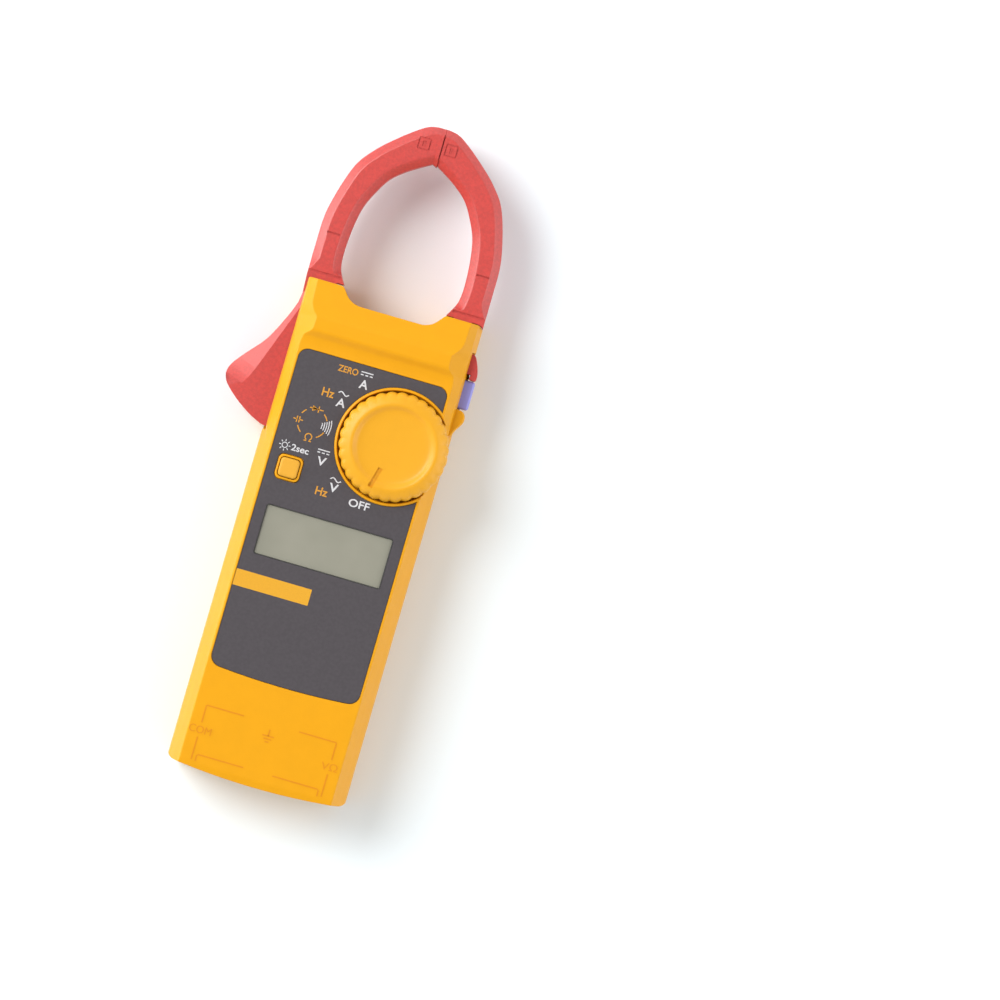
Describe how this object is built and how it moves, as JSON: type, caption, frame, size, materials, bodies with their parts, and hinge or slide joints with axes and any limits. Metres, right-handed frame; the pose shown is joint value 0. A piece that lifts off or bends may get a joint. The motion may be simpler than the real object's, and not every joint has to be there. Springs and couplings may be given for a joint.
{
  "type": "clamp meter",
  "caption": "Pocket clamp meter with a hinged sensing jaw worked by a side trigger, a rotary switch, a display and two test-lead sockets",
  "frame": {"origin": "middle of the flat back face that the meter lies on, midway between its two flanks", "axes": "+Y along the case towards the jaw tip, +X to the right seen from the front, +Z out of the front face"},
  "size_m": [0.0726, 0.205, 0.034],
  "materials": {
    "case_plastic": "yellow moulded plastic, satin",
    "knob_plastic": "yellow moulded plastic, satin",
    "jaw_plastic": "red moulded plastic, fine grained",
    "label_film": "dark grey printed film, matte",
    "window": "clear window over the display, matte",
    "display": "grey-green liquid crystal panel",
    "backlight": "white diffuser",
    "hold_key": "lavender plastic, satin",
    "soft_key": "orange-yellow rubber",
    "black_plastic": "black moulded plastic",
    "white_plastic": "white moulded plastic",
    "board": "green circuit board",
    "core": "dark laminated magnetic core",
    "steel": "plated steel",
    "brass": "bare brass",
    "silicone": "silicone strip",
    "ceramic": "blue lacquered disc",
    "cell": "plain dark cell jacket"
  },
  "bodies": {
    "case": {"front_shell": "case_plastic", "rear_shell": "case_plastic", "battery_cover": "case_plastic", "fixed_jaw_front": "jaw_plastic", "fixed_jaw_rear": "jaw_plastic", "front_label": "label_film", "display_window": "window", "display_panel": "display", "backlight_panel": "backlight", "display_frame": "black_plastic", "backlight_switch": "black_plastic", "hold_switch": "black_plastic", "hall_sensor": "black_plastic", "sensor_lead": "black_plastic", "buzzer": "black_plastic", "measuring_chip": "black_plastic", "com_socket": "black_plastic", "voltage_socket": "black_plastic", "detent_ring": "white_plastic", "main_board": "board", "fixed_core": "core", "bridge_core": "core", "pivot_pin": "steel", "jaw_spring": "steel", "battery_cover_screw": "steel", "battery_spring_1": "steel", "battery_spring_2": "steel", "battery_contact_1": "steel", "battery_contact_2": "steel", "case_screw_1": "steel", "case_screw_2": "steel", "case_screw_3": "steel", "case_screw_4": "steel", "fixed_jaw_screw_1": "steel", "fixed_jaw_screw_2": "steel", "com_contact": "brass", "voltage_contact": "brass", "lower_contact_strip": "silicone", "upper_contact_strip": "silicone", "input_thermistor": "ceramic", "battery_cell_1": "cell", "battery_cell_2": "cell"},
    "moving_jaw": {"moving_jaw_front": "jaw_plastic", "moving_jaw_rear": "jaw_plastic", "moving_core": "core", "moving_jaw_screw_1": "steel", "moving_jaw_screw_2": "steel"},
    "dial": {"rotary_knob": "knob_plastic", "switch_rotor": "white_plastic", "knob_screw": "steel", "detent_ball_1": "steel", "detent_ball_2": "steel", "detent_spring_1": "steel", "detent_spring_2": "steel", "wiper_contact_1": "brass", "wiper_contact_2": "brass", "wiper_contact_3": "brass"},
    "backlight_key": {"backlight_button": "soft_key"},
    "hold_key": {"hold_button": "hold_key"}
  },
  "joints": [
    {"name": "jaw_pivot", "type": "hinge", "parent": "case", "child": "moving_jaw", "pos_m": [-0.02, 0.062, 0.0145], "axis": [0, 0, 1], "range_deg": [0, 26], "stiffness_Nm_per_rad": 0.6, "springref_deg": -14.32},
    {"name": "dial_turn", "type": "hinge", "parent": "case", "child": "dial", "pos_m": [0.0119, 0.0337, 0.03], "axis": [0, 0, 1], "range_deg": [-125, 0]},
    {"name": "backlight_press", "type": "slide", "parent": "case", "child": "backlight_key", "axis": [0, 0, -1], "range_m": [0, 0.0005], "stiffness_N_per_m": 2000, "springref_m": -0.0002},
    {"name": "hold_press", "type": "slide", "parent": "case", "child": "hold_key", "axis": [-1, 0, 0], "range_m": [0, 0.0008], "stiffness_N_per_m": 2000, "springref_m": -0.0002}
  ]
}
